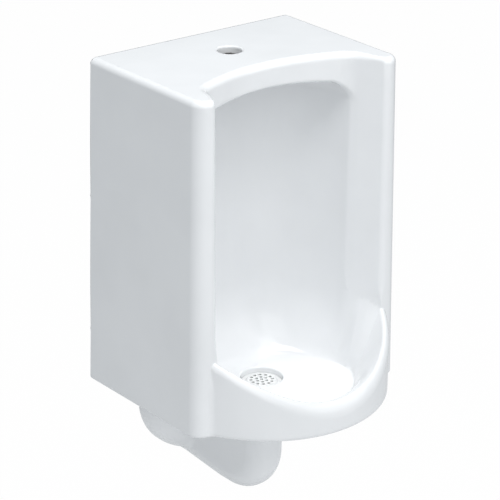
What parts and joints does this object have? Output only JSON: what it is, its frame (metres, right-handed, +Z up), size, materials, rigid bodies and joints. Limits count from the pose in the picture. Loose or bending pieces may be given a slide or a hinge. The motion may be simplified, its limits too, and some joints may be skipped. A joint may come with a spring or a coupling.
{
  "type": "wall hung urinal",
  "caption": "Compact washout urinal: white china box with open alcove, scooped bowl and lip, lift-out strainer, trap keel, outlet flange set and wall hooks",
  "frame": {"origin": "On the wall plane, in the middle of the four hanger screws, on the urinal's centre line", "axes": "+X to the right as seen from the room, +Y into the wall, +Z up"},
  "size_m": [0.3744, 0.406, 0.6731],
  "materials": {
    "china": "gloss",
    "white_plastic": "gloss",
    "flange_plastic": "satin",
    "rubber": "matte",
    "zinc_steel": "satin"
  },
  "bodies": {
    "fixture": {"china_body": "china", "outlet_flange": "flange_plastic", "outlet_gasket": "rubber", "flange_bolts": "zinc_steel", "flange_washers": "zinc_steel", "flange_nuts": "zinc_steel", "left_hanger": "zinc_steel", "right_hanger": "zinc_steel", "hanger_screws": "zinc_steel", "hanger_washers": "zinc_steel"},
    "strainer": {"strainer": "white_plastic", "strainer_seal": "rubber"}
  },
  "joints": [
    {"name": "strainer_lift", "type": "slide", "parent": "fixture", "child": "strainer", "axis": [0, 0, 1], "range_m": [0, 0.1]}
  ]
}
